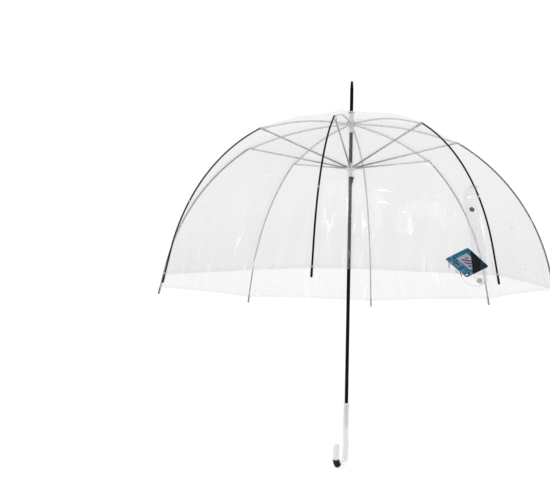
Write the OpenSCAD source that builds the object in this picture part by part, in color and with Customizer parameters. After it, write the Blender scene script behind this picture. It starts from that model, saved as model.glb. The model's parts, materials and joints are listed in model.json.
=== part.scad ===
// Clear bubble umbrella, shown open: eight bowed ribs under a deep dome of clear film, a slim shaft and
// a crook handle. +Z runs up the shaft, the origin is the middle of the grip, and the crook opens
// towards -Y.

/* [Shaft and handle] */
// Outer diameter of the shaft tube
shaft_d = 7.6; // [7.2:0.1:7.8]
// Wall of the shaft tube
shaft_wall = 0.8; // [0.6:0.1:0.9]
// Height of the rib pivots above the middle of the grip
notch_z = 650; // [640:2:690]
// Height of the handle's top rim above the middle of the grip
handle_top_z = 50; // [40:1:60]
// Depth of the shaft's seat in the handle
shaft_seat = 50; // [40:1:60]
// Diameter of the handle rod
handle_d = 14.6; // [13.6:0.2:15.6]
// Radius of the crook's centre line
crook_r = 23; // [22:0.5:28]
// Depth of the crook's centre below the middle of the grip
crook_drop = 56; // [50:1:64]
// Turn of the crook's incurved end, in degrees
crook_end_turn = 18; // [10:1:24]
// Length of the ferrule above the canopy
ferrule_l = 69; // [50:1:80]
// Diameter of the ferrule
ferrule_d = 7.4; // [6:0.1:8]

/* [Ribs] */
// Direction of the first rib, in degrees from the crook's side
rib_phase = 17; // [0:1:44]
// Distance of the inner rib pivots and of the runner's pivots from the shaft's axis
pivot_r = 9; // [8.6:0.1:9.4]
// Length of each inner rib, pivot to knee, and of each stretcher
arm_l = 222; // [200:1:235]
// Drop of the inner ribs below level when open, in degrees
open_angle = 12.5; // [11:0.5:15]
// Diameter of the bowed rods
rod_d = 3.2; // [3:0.1:3.4]
// Radius of the rods' bow
bow_r = 420; // [400:5:450]
// Drop of the rods where they leave the knees, in degrees
bow_start = 32; // [28:1:34]
// Drop of the rods at their middle hinge, in degrees
bow_middle = 56; // [50:1:60]
// Drop of the rods where the bow ends, in degrees
bow_end = 77; // [70:1:80]
// Length of the straight end of each rod
rod_end_l = 64; // [50:1:80]

/* [Canopy] */
// Thickness of the film's solid
film_t = 0.4; // [0.3:0.1:0.8]
// Gap between the ribs' centre line and the inside of the film
film_lift = 2.7; // [2.5:0.1:3.5]
// Height of the film's crown above the rib pivots
crown_h = 23; // [20:1:26]
// Length of rod tip that shows below the hem
tip_show = 15; // [10:1:20]

/* [Strap and tag] */
// Width of the closing strap
strap_w = 24; // [18:1:28]
// Distance of the strap's root from the knee, along the rod
strap_from = 205; // [195:1:215]
// Distance of the strap's free end from the knee, along the rod
strap_to = 396; // [390:1:400]
// Side of the diamond-shaped card tag
tag_side = 48; // [40:1:52]

/* [Hidden] */
RIBS = 8;
STEP = 360 / RIBS;
$fn = 48;

shaft_r = shaft_d / 2;
bore_r = shaft_r - shaft_wall;
handle_r = handle_d / 2;
rod_r = rod_d / 2;

// hubs: the notch at the top and the runner below it
hub_r = 10.5;
hub_floor_r = 6.6;
wire_r = 0.5;
eye_r = 1.7;
eye_bore = 0.7;
eye_half_w = 1.1;
neck_r = 5.2;
skirt_l = 20;
runner_gap = 0.15;
runner_wall = 0.95;
runner_z = notch_z - 2 * arm_l * sin(open_angle);
runner_above = 9;
runner_below = 20;

// knee: rivet, rod knuckle inside the channel's cheeks, stretcher fork outside them
rivet_r = 0.8;
pin_play = 0.05;
knuckle_r = 1.6;
knuckle_half_w = 0.95;
cheek_in = 1.1;
cheek_out = 1.6;
fork_in = 1.75;
fork_out = 2.35;
fork_l = 16;

// middle hinge of each rod
mid_pin_r = 0.6;
mid_ear_r = 1.9;
mid_ear_half_w = 1.5;
mid_tongue_half_w = 0.65;
mid_slot_half_w = 0.8;
mid_slot_l = 5.3;

// rod tip cap and the tie that holds the film to the rod
tip_r = 2.1;
tip_l = 18;
tie_turn = 6;
tie_l = 5;
tie_r = 2.2;

// how far the ferrule reaches into the shaft, and the cross pin through the notch's neck below it
spigot_l = 10;
cross_pin_z = 13;
cross_pin_r = 0.9;

// catch spring under the runner
catch_top = runner_z - runner_below - 0.8;
catch_h = 22;
catch_half_w = 0.6;
catch_in = 2.6;
catch_out = 8.4;
catch_heel_r = 0.9;
catch_heel_x = 1.9;
catch_foot_half_w = 0.6;

deg = 180 / PI;
rod_arc_l = bow_r * (bow_end - bow_start) / deg;
rod_l = rod_arc_l + rod_end_l;
half = STEP / 2;
gore_gap = 0.3;
film_steps = 22;

// strap and tag lie on the outside of the first gore; y runs across the gore
strap_lift = film_lift + film_t + 0.4;
strap_t = 0.5;
strap_y = 129;
strap_root_l = 14;
strap_root_reach = 12;
stud_s = strap_from + 54;
socket_s = strap_to - 6;
snap_lift = strap_lift + strap_t + 0.1;
tag_y = 105.4;
tag_s = 359.2;
tag_lean = 34.7;
tag_turn = 7.2;
tag_lift = strap_lift + 1.4;
tag_t = 0.5;
loop_r = 26;
loop_wire_r = 0.45;
loop_lift = 1.25;
loop_drop = 15.5;
loop_side = 12.2;
loop_from = -84;
loop_sweep = 118;

// the rib plane: x runs out from the shaft's axis, z runs up from the rib pivots
knee = [pivot_r + arm_l * cos(open_angle), -arm_l * sin(open_angle)];
bow_centre = knee - bow_r * [sin(bow_start), cos(bow_start)];

function rib_turn(i) = rib_phase - 90 + STEP * (i - 1);
// drop angle and point of the rod's centre line at a distance s from the knee
function rod_drop(s) = min(bow_end, bow_start + s / bow_r * deg);
function bow_point(drop) = bow_centre + bow_r * [sin(drop), cos(drop)];
function rod_point(s) = bow_point(rod_drop(s)) + max(0, s - rod_arc_l) * [cos(bow_end), -sin(bow_end)];
// point at a height above the rod's centre line
function film_point(s, lift) = rod_point(s) + lift * [sin(rod_drop(s)), cos(rod_drop(s))];
function film_line(s0, s1, lift, n) = [for (k = [0:n]) film_point(s0 + (s1 - s0) * k / n, lift)];
// the same point on the middle line of a gore, where the flat film lies nearer to the shaft
function on_gore(p) = [p[0] * cos(half), p[1]];
function reverse(list) = [for (k = [len(list) - 1:-1:0]) list[k]];

module in_rib(i) {
    rotate([0, 0, rib_turn(i)]) translate([0, 0, notch_z]) children();
}

module in_gore(i) {
    rotate([0, 0, rib_turn(i) + half]) translate([0, 0, notch_z]) children();
}

// cylinder across the rib plane
module across(r, half_w) {
    rotate([90, 0, 0]) cylinder(r = r, h = 2 * half_w, center = true);
}

// bar of rectangular section along x
module bar(x0, x1, half_w, half_h) {
    translate([x0, -half_w, -half_h]) cube([x1 - x0, 2 * half_w, 2 * half_h]);
}

// part of the bowed rod between two drop angles
module bow(from, to, r = rod_r) {
    translate([bow_centre[0], 0, bow_centre[1]]) rotate([90, 0, 0]) rotate([0, 0, 90 - to])
        rotate_extrude(angle = to - from) translate([bow_r, 0]) circle(r = r);
}

// places children at a point of the rib plane, x along the drop direction
module along(p, drop) {
    translate([p[0], 0, p[1]]) rotate([0, drop, 0]) children();
}

module shaft() {
    color("#1c1c1e") difference() {
        bottom = handle_top_z - shaft_seat;
        translate([0, 0, bottom]) cylinder(r = shaft_r, h = notch_z + crown_h - 1 - bottom);
        translate([0, 0, bottom - 1]) cylinder(r = bore_r, h = notch_z + crown_h + 2 - bottom);
        // slot that the catch spring stands in
        translate([1, -catch_half_w - 0.3, catch_top - catch_h - 2]) cube([4, 2 * catch_half_w + 0.6, catch_h + 4]);
        translate([0, 0, notch_z + cross_pin_z]) across(cross_pin_r, 6);
    }
}

module ferrule() {
    point_r = ferrule_d * 0.36;
    base = notch_z + crown_h + 2.4;
    straight_l = ferrule_l * 0.72;
    point_z = base + ferrule_l - point_r;
    color("#161616") rotate_extrude() union() {
        translate([0, base]) square([ferrule_d / 2, straight_l]);
        polygon([[0, base + straight_l], [ferrule_d / 2, base + straight_l], [point_r, point_z], [0, point_z]]);
        intersection() {
            translate([0, point_z]) circle(r = point_r);
            translate([0, point_z]) square(point_r);
        }
        // spigot pressed into the shaft tube
        translate([0, base - spigot_l]) square([bore_r, spigot_l]);
    }
}

// small disc that clamps the film's crown under the ferrule
module crown_washer() {
    color("#e8eaec") translate([0, 0, notch_z + crown_h + 0.9]) difference() {
        cylinder(r = 7.4, h = 1.5);
        translate([0, 0, -1]) cylinder(r = bore_r, h = 4);
    }
}

module hub_slots(half_w, from_z, to_z) {
    for (i = [1:RIBS]) rotate([0, 0, rib_turn(i)])
        translate([hub_floor_r, -half_w, from_z]) cube([hub_r, 2 * half_w, to_z - from_z]);
}

module wire_ring(z, r) {
    translate([0, 0, z]) rotate_extrude() translate([pivot_r, 0]) circle(r = r);
}

module top_notch() {
    color("#dfe2e4") difference() {
        union() {
            translate([0, 0, notch_z - 5]) cylinder(r = hub_r, h = 9);
            translate([0, 0, notch_z + 4]) cylinder(r = neck_r, h = crown_h - 4.4);
            translate([0, 0, notch_z - skirt_l]) cylinder(r = neck_r, h = skirt_l - 1);
        }
        translate([0, 0, notch_z - skirt_l - 1]) cylinder(r = shaft_r, h = crown_h + skirt_l + 7);
        hub_slots(1.9, notch_z - 6, notch_z + 2.4);
        wire_ring(notch_z, wire_r);
        translate([0, 0, notch_z + cross_pin_z]) across(cross_pin_r, 6);
    }
}

module notch_wire() {
    color("#b8bcc0") wire_ring(notch_z, wire_r);
}

// cross pin that holds the notch on the shaft
module notch_pin() {
    color("#b8bcc0") translate([0, 0, notch_z + cross_pin_z]) across(cross_pin_r, neck_r + 0.2);
}

module runner() {
    color("#d7dade") difference() {
        union() {
            translate([0, 0, runner_z - 5.5]) cylinder(r = hub_r, h = 9.5);
            translate([0, 0, runner_z - runner_below])
                cylinder(r = shaft_r + runner_gap + runner_wall, h = runner_above + runner_below);
        }
        translate([0, 0, runner_z - runner_below - 1])
            cylinder(r = shaft_r + runner_gap, h = runner_above + runner_below + 2);
        hub_slots(1.7, runner_z - 2.4, runner_z + 6);
        wire_ring(runner_z, wire_r);
    }
}

module runner_wire() {
    color("#b8bcc0") wire_ring(runner_z, wire_r);
}

// leaf that the runner rests on when open, pressed into the shaft to let it down
module catch_spring() {
    color("#1a1a1a") translate([0, 0, catch_top]) {
        rotate([90, 0, 0]) linear_extrude(height = 2 * catch_half_w, center = true)
            polygon([[catch_in, 0], [catch_out, 0], [catch_out, -2.5], [catch_heel_x + catch_foot_half_w, -catch_h],
                     [catch_heel_x - catch_foot_half_w, -catch_h], [catch_heel_x - 0.2, -catch_h / 2]]);
        translate([catch_heel_x, 0, -catch_h]) across(catch_heel_r, catch_half_w + 0.15);
    }
}

// places children in the crook's own plane, x towards -Y and y up, at the crook's centre
module in_crook() {
    translate([0, -crook_r, -crook_drop]) rotate([90, 0, -90]) children();
}

module handle() {
    end_r = 60;
    color("#eef1f3", 0.8) difference() {
        union() {
            translate([0, 0, -crook_drop]) cylinder(r = handle_r, h = crook_drop + handle_top_z - 1.2);
            translate([0, 0, handle_top_z - 1.2]) cylinder(r1 = handle_r, r2 = handle_r - 1.2, h = 1.2);
            in_crook() rotate([0, 0, 180]) rotate_extrude(angle = 180) translate([crook_r, 0]) circle(r = handle_r);
            in_crook() translate([crook_r - end_r, 0, 0]) {
                rotate_extrude(angle = crook_end_turn) translate([end_r, 0]) circle(r = handle_r);
                rotate([0, 0, crook_end_turn]) translate([end_r, 0, 0]) sphere(r = handle_r);
            }
        }
        translate([0, 0, handle_top_z - shaft_seat]) cylinder(r = shaft_r, h = shaft_seat + 1);
        // shallow groove below the rim
        translate([0, 0, handle_top_z - 6]) rotate_extrude() translate([handle_r + 0.2, 0]) circle(r = 0.6);
    }
}

// dark label band on the outside of the crook's bend
module handle_label() {
    color("#101012") in_crook() rotate([0, 0, -53]) rotate_extrude(angle = 38) intersection() {
        translate([crook_r, 0]) difference() {
            circle(r = handle_r + 0.35);
            circle(r = handle_r);
        }
        translate([crook_r - 2, -10]) square([12, 20]);
    }
}

module rib_channel(i) {
    rivet_half_l = fork_out + 0.6;
    color("#77797c") in_rib(i) translate([pivot_r, 0, 0]) rotate([0, open_angle, 0]) {
        difference() {
            union() {
                across(eye_r, eye_half_w);
                bar(0, 9, eye_half_w, 1.3);
                difference() {
                    bar(5, arm_l, cheek_out, 1.5);
                    translate([8, -cheek_in, -2]) cube([arm_l, 2 * cheek_in, 2.9]);
                    translate([arm_l - 4, -cheek_in, -2]) cube([8, 2 * cheek_in, 4]);
                }
                translate([arm_l, 0, 0]) difference() {
                    across(1.9, cheek_out);
                    across(3, cheek_in);
                }
            }
            across(eye_bore, 4);
            translate([arm_l, 0, 0]) across(rivet_r, 4);
        }
        translate([arm_l, 0, 0]) {
            across(rivet_r, rivet_half_l);
            for (s = [-1, 1]) translate([0, s * (rivet_half_l - 0.25), 0]) across(1.4, 0.25);
        }
    }
}

module rod_upper(i) {
    start_gap = 3.5 / bow_r * deg;
    middle = bow_point(bow_middle);
    color("#151515") in_rib(i) {
        difference() {
            union() {
                bow(bow_start + start_gap, bow_middle);
                along(knee, bow_start) bar(0, 7, knuckle_half_w, 1.2);
                along(knee, bow_start) across(knuckle_r, knuckle_half_w);
                along(middle, bow_middle) across(mid_ear_r, mid_ear_half_w);
            }
            along(knee, bow_start) across(rivet_r + pin_play, 4);
            along(middle, bow_middle) bar(-mid_slot_l, mid_slot_l, mid_slot_half_w, 2.4);
        }
        along(middle, bow_middle) across(mid_pin_r, mid_slot_half_w + 0.3);
    }
}

module rod_lower(i) {
    start_gap = 1.95 / bow_r * deg;
    middle = bow_point(bow_middle);
    color("#151515") in_rib(i) {
        difference() {
            union() {
                bow(bow_middle + start_gap, bow_end);
                along(middle, bow_middle) bar(0, 5, mid_tongue_half_w, 1.2);
                along(middle, bow_middle) across(1.4, mid_tongue_half_w);
                // straight sleeve over the end of the bow
                along(rod_point(rod_arc_l - 2), bow_end) rotate([0, 90, 0])
                    cylinder(r = rod_r + 0.1, h = rod_end_l - tip_l + 4);
                // tie that holds the film to the rod
                bow(bow_middle + tie_turn, bow_middle + tie_turn + tie_l / bow_r * deg, tie_r);
                // cap with a rounded end
                along(rod_point(rod_l - tip_l), bow_end) rotate([0, 90, 0]) {
                    cylinder(r = tip_r, h = tip_l - tip_r);
                    translate([0, 0, tip_l - tip_r]) sphere(r = tip_r);
                }
            }
            along(middle, bow_middle) across(mid_pin_r + pin_play, 4);
        }
    }
}

module stretcher(i) {
    color("#8b8e92") in_rib(i) translate([knee[0], 0, knee[1]]) rotate([0, 180 - open_angle, 0]) difference() {
        union() {
            difference() {
                union() {
                    across(2, fork_out);
                    bar(0, fork_l, fork_out, 1.5);
                }
                bar(-4, fork_l, fork_in, 4);
            }
            bar(fork_l - 0.5, fork_l + 3, fork_out, 1.2);
            difference() {
                bar(fork_l, arm_l - 5, 1.3, 1.3);
                translate([fork_l + 3, -0.8, -0.7]) cube([arm_l - fork_l - 12, 1.6, 3]);
            }
            bar(arm_l - 9, arm_l, eye_half_w, 1.2);
            translate([arm_l, 0, 0]) across(eye_r, eye_half_w);
        }
        across(rivet_r + pin_play, 4);
        translate([arm_l, 0, 0]) across(eye_bore, 4);
    }
}

// section of the film on a gore's middle line, from the crown to the hem
module film_section() {
    hem = rod_l - tip_show;
    crown = [[5.6, crown_h], [5.6, crown_h + film_t]];
    inner = [for (p = film_line(0, hem, film_lift, film_steps)) on_gore(p)];
    outer = [for (p = film_line(0, hem, film_lift + film_t, film_steps)) on_gore(p)];
    polygon(concat([crown[0]], inner, reverse(outer), [crown[1]]));
}

// wedge between two ribs' planes, open at the ribs by the gap
module gore_wedge() {
    reach = 500;
    translate([gore_gap / sin(half), 0, -reach]) linear_extrude(height = 2 * reach)
        polygon([[0, 0], [reach, reach * tan(half)], [reach, -reach * tan(half)]]);
}

module gore(i) {
    color("#eef3f6", 0.3) in_gore(i) intersection() {
        rotate([90, 0, 0]) linear_extrude(height = 400, center = true) film_section();
        gore_wedge();
    }
}

// strip that lies on the outside of the first gore, between two distances from the knee
module on_film_strip(s0, s1, lift, t, y0, y1) {
    n = max(1, round((s1 - s0) / 18));
    inner = [for (p = film_line(s0, s1, lift, n)) on_gore(p)];
    outer = [for (p = film_line(s0, s1, lift + t, n)) on_gore(p)];
    in_gore(1) translate([0, y1, 0]) rotate([90, 0, 0]) linear_extrude(height = y1 - y0)
        polygon(concat(inner, reverse(outer)));
}

// places children on the first gore's outside, z away from the film and x down it
module on_film(s, lift, y) {
    p = on_gore(film_point(s, lift));
    q = on_gore(film_point(s + 1, lift));
    in_gore(1) translate([p[0], y, p[1]]) rotate([0, atan2(p[1] - q[1], q[0] - p[0]), 0]) children();
}

module closing_strap() {
    color("#f2f6f8", 0.5) union() {
        on_film_strip(strap_from, strap_to, strap_lift, strap_t, strap_y - strap_w / 2, strap_y + strap_w / 2);
        on_film_strip(strap_from, strap_from + strap_root_l, strap_lift, strap_t, strap_y,
                      strap_y + strap_w / 2 + strap_root_reach);
    }
}

// press stud near the strap's root
module snap_stud() {
    color("#3a3c40") on_film(stud_s, snap_lift, strap_y - 4) {
        cylinder(r = 4.8, h = 1);
        cylinder(r = 2.2, h = 2.4);
    }
}

// press stud's socket at the strap's free end
module snap_socket() {
    color("#8d9095") on_film(socket_s, snap_lift, strap_y - 3) difference() {
        cylinder(r = 4.2, h = 1.6);
        translate([0, 0, 0.6]) cylinder(r = 2.3, h = 2);
    }
}

// diamond-shaped card with an eyelet in its lower corner
module swing_tag() {
    long_half = tag_side * cos(tag_lean);
    short_half = tag_side * sin(tag_lean);
    color("#1f6f86") on_film(tag_s, tag_lift, tag_y) rotate([0, 0, -tag_turn]) linear_extrude(height = tag_t) difference() {
        polygon([[-short_half, 0], [0, long_half], [short_half, 0], [0, -long_half]]);
        translate([short_half - 6, -1]) circle(r = 1.3);
    }
}

// thin moulded loop from the tag's eyelet to the strap's end
module tag_loop() {
    color("#e6e6e6") on_film(tag_s, tag_lift + tag_t + loop_lift, tag_y) translate([loop_drop, loop_side, 0])
        rotate([0, 0, loop_from]) rotate_extrude(angle = loop_sweep) translate([loop_r, 0]) circle(r = loop_wire_r);
}

shaft();
ferrule();
crown_washer();
top_notch();
notch_wire();
notch_pin();
runner();
runner_wire();
catch_spring();
handle();
handle_label();
closing_strap();
snap_stud();
snap_socket();
swing_tag();
tag_loop();
for (i = [1:RIBS]) {
    rib_channel(i);
    rod_upper(i);
    rod_lower(i);
    stretcher(i);
    gore(i);
}
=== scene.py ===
import json
import math
import random

import bmesh
import bpy
import numpy as np
from mathutils import Matrix, Vector, noise

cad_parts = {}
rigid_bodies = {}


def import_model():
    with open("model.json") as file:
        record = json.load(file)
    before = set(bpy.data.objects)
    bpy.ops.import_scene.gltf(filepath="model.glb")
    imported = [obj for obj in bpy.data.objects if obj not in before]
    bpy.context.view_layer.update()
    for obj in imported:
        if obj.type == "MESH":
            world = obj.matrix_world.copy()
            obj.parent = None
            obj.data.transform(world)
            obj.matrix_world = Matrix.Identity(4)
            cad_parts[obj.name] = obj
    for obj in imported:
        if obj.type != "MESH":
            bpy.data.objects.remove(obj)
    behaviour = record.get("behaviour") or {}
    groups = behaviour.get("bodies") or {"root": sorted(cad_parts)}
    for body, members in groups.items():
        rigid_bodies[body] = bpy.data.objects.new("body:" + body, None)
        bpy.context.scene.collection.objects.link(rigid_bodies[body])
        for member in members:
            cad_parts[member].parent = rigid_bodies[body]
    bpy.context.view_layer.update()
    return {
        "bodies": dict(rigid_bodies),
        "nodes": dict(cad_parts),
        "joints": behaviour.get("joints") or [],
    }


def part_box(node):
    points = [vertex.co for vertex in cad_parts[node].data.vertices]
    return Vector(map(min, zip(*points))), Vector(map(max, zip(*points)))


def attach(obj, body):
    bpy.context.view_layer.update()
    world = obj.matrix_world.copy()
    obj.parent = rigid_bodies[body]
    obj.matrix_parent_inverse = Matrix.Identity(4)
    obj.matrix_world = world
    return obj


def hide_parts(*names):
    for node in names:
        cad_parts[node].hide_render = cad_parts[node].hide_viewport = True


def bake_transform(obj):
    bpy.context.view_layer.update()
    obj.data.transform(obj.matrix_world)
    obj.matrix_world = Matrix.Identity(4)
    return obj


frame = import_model()
random.seed(11)

# ---------------------------------------------------------------- the frame's own measures
JOINTS = {j["name"]: j for j in frame["joints"]}
RIBS = 8
HALF = math.pi / RIBS
ROOT = "shaft_and_canopy"


def polar(joint):
    x, y, z = JOINTS[joint]["pos_m"]
    return np.array((math.hypot(x, y), z))


def rib_azimuth(i):
    x, y, _ = JOINTS[f"stretcher_{i}_hinge"]["pos_m"]
    return math.atan2(y, x)


PIVOT, KNEE, MIDDLE = polar("rib_2_hinge"), polar("stretcher_2_hinge"), polar("rib_2_lower_hinge")
BOW_R = 0.420
BOW_END = math.radians(77)
chord = MIDDLE - KNEE
chord_drop = math.atan2(-chord[1], chord[0])
bow_half = math.asin(np.hypot(*chord) / 2 / BOW_R)
BOW_START = chord_drop - bow_half
BOW_C = KNEE - BOW_R * np.array((math.sin(BOW_START), math.cos(BOW_START)))
ARC_L = BOW_R * (BOW_END - BOW_START)
S_MID = BOW_R * 2 * bow_half
end_of_bow = BOW_C + BOW_R * np.array((math.sin(BOW_END), math.cos(BOW_END)))
TIP_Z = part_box("rib_1_rod_lower")[0].z
ROD_L = ARC_L + (end_of_bow[1] - TIP_Z) / math.sin(BOW_END)
ROD_R = 0.0017
TIP_L = 0.018
TIP_R = 0.0021
CLIP_L = 0.005
LIFT = 0.0029  # from the rods' centre line to the film
HEM = ROD_L - 0.015
CROWN = np.array((0.0056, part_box("gore_1")[1].z - 0.0002))
ARM_L = float(np.hypot(*(KNEE - PIVOT)))
ARM_DIR = (KNEE - PIVOT) / ARM_L
ARM_UP = np.array((-ARM_DIR[1], ARM_DIR[0]))
ARM_RISE = 0.009  # how far the film's pull bows the upper rib at its middle
ARM_END = 0.006
STRAP_LIFT = 0.0037


def drop_at(s):
    return min(BOW_END, BOW_START + s / BOW_R)


def rod_rz(s, lift=0.0):
    """(distance from the axis, height) of a point above the rod's centre line, s from the knee."""
    a = drop_at(s)
    p = BOW_C + BOW_R * np.array((math.sin(a), math.cos(a)))
    p = p + max(0.0, s - ARC_L) * np.array((math.cos(BOW_END), -math.sin(BOW_END)))
    return p + lift * np.array((math.sin(a), math.cos(a)))


def at_azimuth(p, az):
    """3-D point or direction from (distance from the axis, height) in the plane at azimuth az."""
    return Vector((p[0] * math.cos(az), p[0] * math.sin(az), p[1]))


def arm_bow(along):
    """Upward bow of the upper rib at a distance from the pivot at the notch."""
    f = (along - ARM_END) / (ARM_L - 2 * ARM_END)
    return ARM_RISE * math.sin(math.pi * min(1.0, max(0.0, f)))


def smooth(x):
    x = min(1.0, max(0.0, x))
    return x * x * (3 - 2 * x)


# ---------------------------------------------------------------- mesh helpers
def new_object(name, verts, faces, material, smooth_faces=True):
    me = bpy.data.meshes.new(name)
    me.from_pydata([tuple(v) for v in verts], [], faces)
    me.validate()
    me.update()
    ob = bpy.data.objects.new(name, me)
    bpy.context.scene.collection.objects.link(ob)
    if smooth_faces:
        me.polygons.foreach_set("use_smooth", [True] * len(me.polygons))
    me.materials.append(material)
    return ob


def float_attribute(ob, name, values):
    a = ob.data.attributes.new(name, "FLOAT", "POINT")
    a.data.foreach_set("value", np.asarray(values, np.float32))


def vector_attribute(ob, name, values):
    a = ob.data.attributes.new(name, "FLOAT_VECTOR", "POINT")
    a.data.foreach_set("vector", np.asarray(values, np.float32).ravel())


def border_loop(rows, cols):
    """Vertex numbers round the edge of a grid of rows by cols cells, in order."""
    w = cols + 1
    first = list(range(w))
    last = [rows * w + c for c in range(cols - 1, -1, -1)]
    far_side = [k * w + cols for k in range(1, rows + 1)]
    near_side = [k * w for k in range(rows - 1, 0, -1)]
    return first + far_side + last + near_side


def pairs_round(loop):
    return zip(loop, loop[1:] + loop[:1])


def sweep(rings, segs):
    """Vertices and faces of a tube whose ends are closed with a fan.
    Each ring is (centre, side axis, up axis, side radius, up radius)."""
    verts, faces = [], []
    for c, u, v, ru, rv in rings:
        for k in range(segs):
            a = 2 * math.pi * k / segs
            verts.append(c + u * (ru * math.cos(a)) + v * (rv * math.sin(a)))
    n = len(rings)
    for r in range(n - 1):
        for k in range(segs):
            a, b = r * segs + k, r * segs + (k + 1) % segs
            faces.append((a, b, b + segs, a + segs))
    for r, flip in ((0, True), (n - 1, False)):
        verts.append(Vector(rings[r][0]))
        m = len(verts) - 1
        for k in range(segs):
            a, b = r * segs + k, r * segs + (k + 1) % segs
            faces.append((m, b, a) if flip else (m, a, b))
    return verts, faces


def along_rib(az, stations, segs=20):
    """Tube along a rib. stations are (s, side radius, up radius)."""
    side = Vector((-math.sin(az), math.cos(az), 0))
    rings = []
    for s, ru, rv in stations:
        a = drop_at(s) if s > 0 else BOW_START
        p = rod_rz(s) if s > 0 else KNEE + s * np.array((math.cos(BOW_START), -math.sin(BOW_START)))
        up = Vector((math.sin(a) * math.cos(az), math.sin(a) * math.sin(az), math.cos(a)))
        rings.append((at_azimuth(p, az), side, up, ru, rv))
    return sweep(rings, segs)


# ---------------------------------------------------------------- materials
class Nodes:
    def __init__(self, name):
        self.m = bpy.data.materials.new(name)
        self.m.use_nodes = True
        self.t = self.m.node_tree
        self.t.nodes.clear()
        self.out = self.t.nodes.new("ShaderNodeOutputMaterial")

    def add(self, kind, **props):
        n = self.t.nodes.new("ShaderNode" + kind)
        for k, v in props.items():
            setattr(n, k, v)
        return n

    def link(self, a, b):
        self.t.links.new(a, b)

    def set(self, socket, value):
        if isinstance(value, bpy.types.NodeSocket):
            self.link(value, socket)
        else:
            socket.default_value = value

    def math(self, op, a, b=None, c=None, clamp=False):
        n = self.add("Math", operation=op, use_clamp=clamp)
        for i, v in enumerate((a, b, c)):
            if v is not None:
                self.set(n.inputs[i], v)
        return n.outputs[0]

    def coords(self, scale=(1, 1, 1), attribute=None, source="Object"):
        if attribute:
            src = self.add("Attribute", attribute_name=attribute).outputs["Vector"]
        else:
            src = self.add("TexCoord").outputs[source]
        mp = self.add("Mapping")
        mp.inputs["Scale"].default_value = scale
        self.link(src, mp.inputs["Vector"])
        return mp.outputs[0]

    def noise(self, vector, scale, detail=3.0, rough=0.5, distortion=0.0):
        n = self.add("TexNoise")
        self.link(vector, n.inputs["Vector"])
        n.inputs["Scale"].default_value = scale
        n.inputs["Detail"].default_value = detail
        n.inputs["Roughness"].default_value = rough
        n.inputs["Distortion"].default_value = distortion
        return n.outputs["Fac"]

    def ramp(self, fac, lo, hi, a=0.0, b=1.0, kind="LINEAR"):
        n = self.add("MapRange", interpolation_type=kind)
        self.link(fac, n.inputs[0])
        for i, v in zip((1, 2, 3, 4), (lo, hi, a, b)):
            n.inputs[i].default_value = v
        return n.outputs[0]

    def mix(self, fac, a, b):
        n = self.add("Mix", data_type="RGBA")
        self.set(n.inputs[0], fac)
        self.set(n.inputs[6], a)
        self.set(n.inputs[7], b)
        return n.outputs[2]

    def bump(self, height, distance, strength=1.0):
        n = self.add("Bump")
        n.inputs["Distance"].default_value = distance
        n.inputs["Strength"].default_value = strength
        self.link(height, n.inputs["Height"])
        return n.outputs[0]

    def principled(self, **inputs):
        n = self.add("BsdfPrincipled")
        for k, v in inputs.items():
            self.set(n.inputs[k.replace("_", " ")], v)
        return n

    def done(self, shader):
        self.link(shader, self.out.inputs["Surface"])
        return self.m


def rgb(*c):
    return (*c, 1.0)


def grey(tone):
    return tone, tone, tone


def painted(name, dark, light, rough, metallic, grain, bump_mm, streak=(1, 1, 1), wear=None,
            specular=0.5, inner=None, inside=None):
    """A coated or moulded surface. Its colour drifts between two tones, and its roughness and a
    fine bump follow the same grain. inner darkens it towards the shaft's axis as painted shade;
    inside is the tone of the side that faces the axis, painted paler as painted light."""
    n = Nodes(name)
    v = n.coords(streak)
    broad = n.noise(v, grain, 4.0, 0.55)
    fine = n.noise(n.coords(streak), grain * 9, 2.0, 0.6)
    colour = n.mix(n.ramp(broad, 0.35, 0.68), rgb(*dark), rgb(*light))
    if wear:
        spots = n.ramp(n.noise(n.coords((1, 1, 1)), grain * 4, 5.0, 0.7), 0.66, 0.74)
        colour = n.mix(n.math("MULTIPLY", spots, 0.6), colour, rgb(*wear))
    # painted shade: darker towards the shaft's axis, where the stretchers gather at the runner
    if inner:
        flat = n.add("VectorMath", operation="LENGTH")
        n.link(n.coords((1, 1, 0)), flat.inputs[0])
        near = n.ramp(flat.outputs["Value"], 0.03, 0.15, 1.0, 0.0, "SMOOTHSTEP")
        colour = n.mix(near, colour, rgb(*[c * inner for c in light]))
    # painted light: the side that faces the axis is painted paler
    if inside:
        outward = n.add("VectorMath", operation="NORMALIZE")
        n.link(n.coords((1, 1, 0)), outward.inputs[0])
        side = n.add("VectorMath", operation="DOT_PRODUCT")
        n.link(outward.outputs[0], side.inputs[0])
        n.link(n.add("TexCoord").outputs["Normal"], side.inputs[1])
        facing_in = n.ramp(side.outputs["Value"], -0.55, 0.1, 1.0, 0.0, "SMOOTHSTEP")
        colour = n.mix(facing_in, colour, rgb(*inside))
    r = n.math("ADD", n.ramp(broad, 0.3, 0.7, rough * 0.8, rough * 1.15),
               n.ramp(fine, 0.3, 0.7, -0.03, 0.05), clamp=True)
    b = n.bump(n.math("ADD", fine, n.math("MULTIPLY", broad, 0.5)), bump_mm / 1000, 0.6)
    p = n.principled(Base_Color=colour, Roughness=r, Normal=b)
    p.inputs["Metallic"].default_value = metallic
    p.inputs["Specular IOR Level"].default_value = specular
    return n.done(p.outputs[0])


M_SHAFT = painted("shaft_black_paint", grey(0.002), grey(0.006), 0.28, 0.0, 60, 0.02,
                  (1, 1, 0.04), wear=grey(0.02), specular=0.06)
M_FERRULE = painted("ferrule_black", grey(0.001), grey(0.004), 0.4, 0.0, 90, 0.05,
                    (1, 1, 0.3), specular=0.04)
M_CATCH = painted("catch_dark", grey(0.006), grey(0.015), 0.4, 0.0, 300, 0.02, specular=0.12)
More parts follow.
